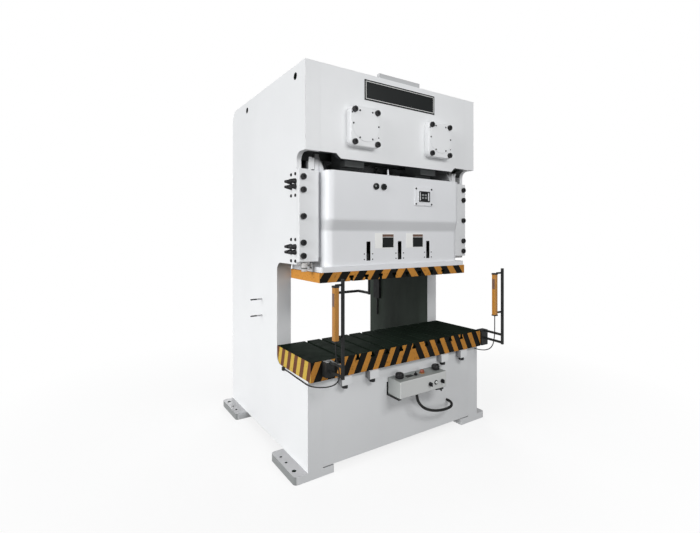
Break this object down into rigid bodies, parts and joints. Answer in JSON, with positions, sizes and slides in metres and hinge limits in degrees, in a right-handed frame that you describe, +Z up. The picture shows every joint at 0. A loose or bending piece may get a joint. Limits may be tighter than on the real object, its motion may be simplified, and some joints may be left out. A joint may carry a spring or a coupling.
{
  "type": "mechanical stamping press",
  "caption": "C-frame mechanical stamping press with geared eccentric drive, gibbed slide, T-slotted bolster, operator console and light curtains on posts, on bolted feet.",
  "frame": {"origin": "on the floor, at the middle of the four anchor holes in the feet", "axes": "+X to the press right side as the operator sees it, -Y towards the operator, +Z up"},
  "size_m": [2.12, 2.31, 3.224],
  "materials": {
    "frame_paint": "semi-gloss white paint",
    "slide_paint": "semi-gloss white paint",
    "machined_steel": "ground steel",
    "cast_grey": "grey cast iron",
    "bearing_bronze": "plain bearing bronze",
    "bed_black": "dark plate with hazard stripes on its front and ends",
    "black_steel": "black oxide and black paint",
    "signal_yellow": "orange-yellow paint",
    "motor_paint": "blue-grey paint",
    "black_rubber": "matt black",
    "button_black": "matt black",
    "button_red": "red"
  },
  "bodies": {
    "frame": {"balance_cylinders": "cast_grey", "base_front": "frame_paint", "base_rear": "frame_paint", "bearing_cover_left": "frame_paint", "bearing_cover_right": "frame_paint", "bed_plate": "frame_paint", "bolster": "bed_black", "bolster_clamps": "frame_paint", "console_box": "frame_paint", "console_bracket": "black_steel", "console_conduit": "black_rubber", "crown_front": "frame_paint", "crown_shell": "frame_paint", "curtain_brackets": "black_steel", "curtain_cable_left": "black_rubber", "curtain_cable_right": "black_rubber", "drive_belts": "black_rubber", "drive_wall": "frame_paint", "frame_left": "frame_paint", "frame_right": "frame_paint", "gear_case": "frame_paint", "gib_adjusters": "black_steel", "gib_housing_left": "frame_paint", "gib_housing_right": "frame_paint", "gib_liners": "bearing_bronze", "junction_box": "black_steel", "light_curtain_left": "signal_yellow", "light_curtain_right": "signal_yellow", "motor": "motor_paint", "motor_shelf": "frame_paint", "oil_cup": "black_steel", "rear_arm": "black_steel", "shaft_bushes": "bearing_bronze", "socket_bolts": "black_steel"},
    "slide": {"slide_body": "slide_paint", "slide_plate": "bed_black", "balance_rods": "machined_steel", "indicator_plate": "slide_paint", "slide_gauges": "machined_steel", "adjust_motor": "motor_paint", "overload_cylinders": "cast_grey"},
    "pinion_drive": {"pinion_shaft": "machined_steel"},
    "flywheel_rotor": {"flywheel": "cast_grey"},
    "motor_rotor": {"motor_pulley": "cast_grey"},
    "knockout_left": {"knockout_bar_left": "machined_steel"},
    "knockout_middle": {"knockout_bar_middle": "machined_steel"},
    "knockout_right": {"knockout_bar_right": "machined_steel"},
    "stop_press": {"stop_button": "button_red"},
    "crank_left": {"crankshaft_left": "machined_steel", "main_gear_left": "machined_steel"},
    "rod_left": {"con_rod_left": "cast_grey", "rod_screw_left": "machined_steel"},
    "palm_left": {"palm_button_left": "button_black"},
    "knob_left": {"selector_left": "button_black"},
    "crank_right": {"crankshaft_right": "machined_steel", "main_gear_right": "machined_steel"},
    "rod_right": {"con_rod_right": "cast_grey", "rod_screw_right": "machined_steel"},
    "palm_right": {"palm_button_right": "button_black"},
    "knob_right": {"selector_right": "button_black"}
  },
  "joints": [
    {"name": "slide_stroke", "type": "slide", "parent": "frame", "child": "slide", "axis": [0, 0, 1], "range_m": [-0.18, 0]},
    {"name": "crank_left_turn", "type": "hinge", "parent": "frame", "child": "crank_left", "pos_m": [-0.425, -0.575, 2.718], "axis": [0, 1, 0], "range_deg": [0, 180]},
    {"name": "rod_left_swing", "type": "hinge", "parent": "crank_left", "child": "rod_left", "pos_m": [-0.425, -0.575, 2.808], "axis": [0, 1, 0], "range_deg": [-180, 0]},
    {"name": "crank_right_turn", "type": "hinge", "parent": "frame", "child": "crank_right", "pos_m": [0.425, -0.575, 2.718], "axis": [0, 1, 0], "range_deg": [0, 180]},
    {"name": "rod_right_swing", "type": "hinge", "parent": "crank_right", "child": "rod_right", "pos_m": [0.425, -0.575, 2.808], "axis": [0, 1, 0], "range_deg": [-180, 0]},
    {"name": "pinion_turn", "type": "hinge", "parent": "frame", "child": "pinion_drive", "pos_m": [0, -0.23, 2.4949], "axis": [0, 1, 0], "range_deg": [-540, 0]},
    {"name": "flywheel_spin", "type": "hinge", "parent": "frame", "child": "flywheel_rotor", "pos_m": [0, 0.68, 2.4949], "axis": [0, 1, 0], "continuous": true},
    {"name": "motor_spin", "type": "hinge", "parent": "frame", "child": "motor_rotor", "pos_m": [0, 0.68, 1.75], "axis": [0, 1, 0], "continuous": true},
    {"name": "knockout_left_lift", "type": "slide", "parent": "slide", "child": "knockout_left", "axis": [0, 0, 1], "range_m": [0, 0.099]},
    {"name": "knockout_middle_lift", "type": "slide", "parent": "slide", "child": "knockout_middle", "axis": [0, 0, 1], "range_m": [0, 0.099]},
    {"name": "knockout_right_lift", "type": "slide", "parent": "slide", "child": "knockout_right", "axis": [0, 0, 1], "range_m": [0, 0.099]},
    {"name": "palm_left_press", "type": "slide", "parent": "frame", "child": "palm_left", "axis": [0, 0, -1], "range_m": [0, 0.006], "stiffness_N_per_m": 2000, "springref_m": -0.003},
    {"name": "palm_right_press", "type": "slide", "parent": "frame", "child": "palm_right", "axis": [0, 0, -1], "range_m": [0, 0.006], "stiffness_N_per_m": 2000, "springref_m": -0.003},
    {"name": "stop_button_press", "type": "slide", "parent": "frame", "child": "stop_press", "axis": [0, 0, -1], "range_m": [0, 0.006], "stiffness_N_per_m": 2000, "springref_m": -0.003},
    {"name": "selector_left_turn", "type": "hinge", "parent": "frame", "child": "knob_left", "pos_m": [0.138, -1.044, 0.565], "axis": [0, -1, 0], "range_deg": [0, 90]},
    {"name": "selector_right_turn", "type": "hinge", "parent": "frame", "child": "knob_right", "pos_m": [0.282, -1.044, 0.565], "axis": [0, -1, 0], "range_deg": [0, 90]}
  ],
  "couplings": [
    {"joint": "crank_left_turn", "follows": "slide_stroke", "rad_per_m": -17.453},
    {"joint": "rod_left_swing", "follows": "slide_stroke", "rad_per_m": 17.453},
    {"joint": "crank_right_turn", "follows": "slide_stroke", "rad_per_m": -17.453},
    {"joint": "rod_right_swing", "follows": "slide_stroke", "rad_per_m": 17.453},
    {"joint": "pinion_turn", "follows": "slide_stroke", "rad_per_m": 52.36},
    {"joint": "motor_spin", "follows": "flywheel_spin", "ratio": 4.7059}
  ]
}
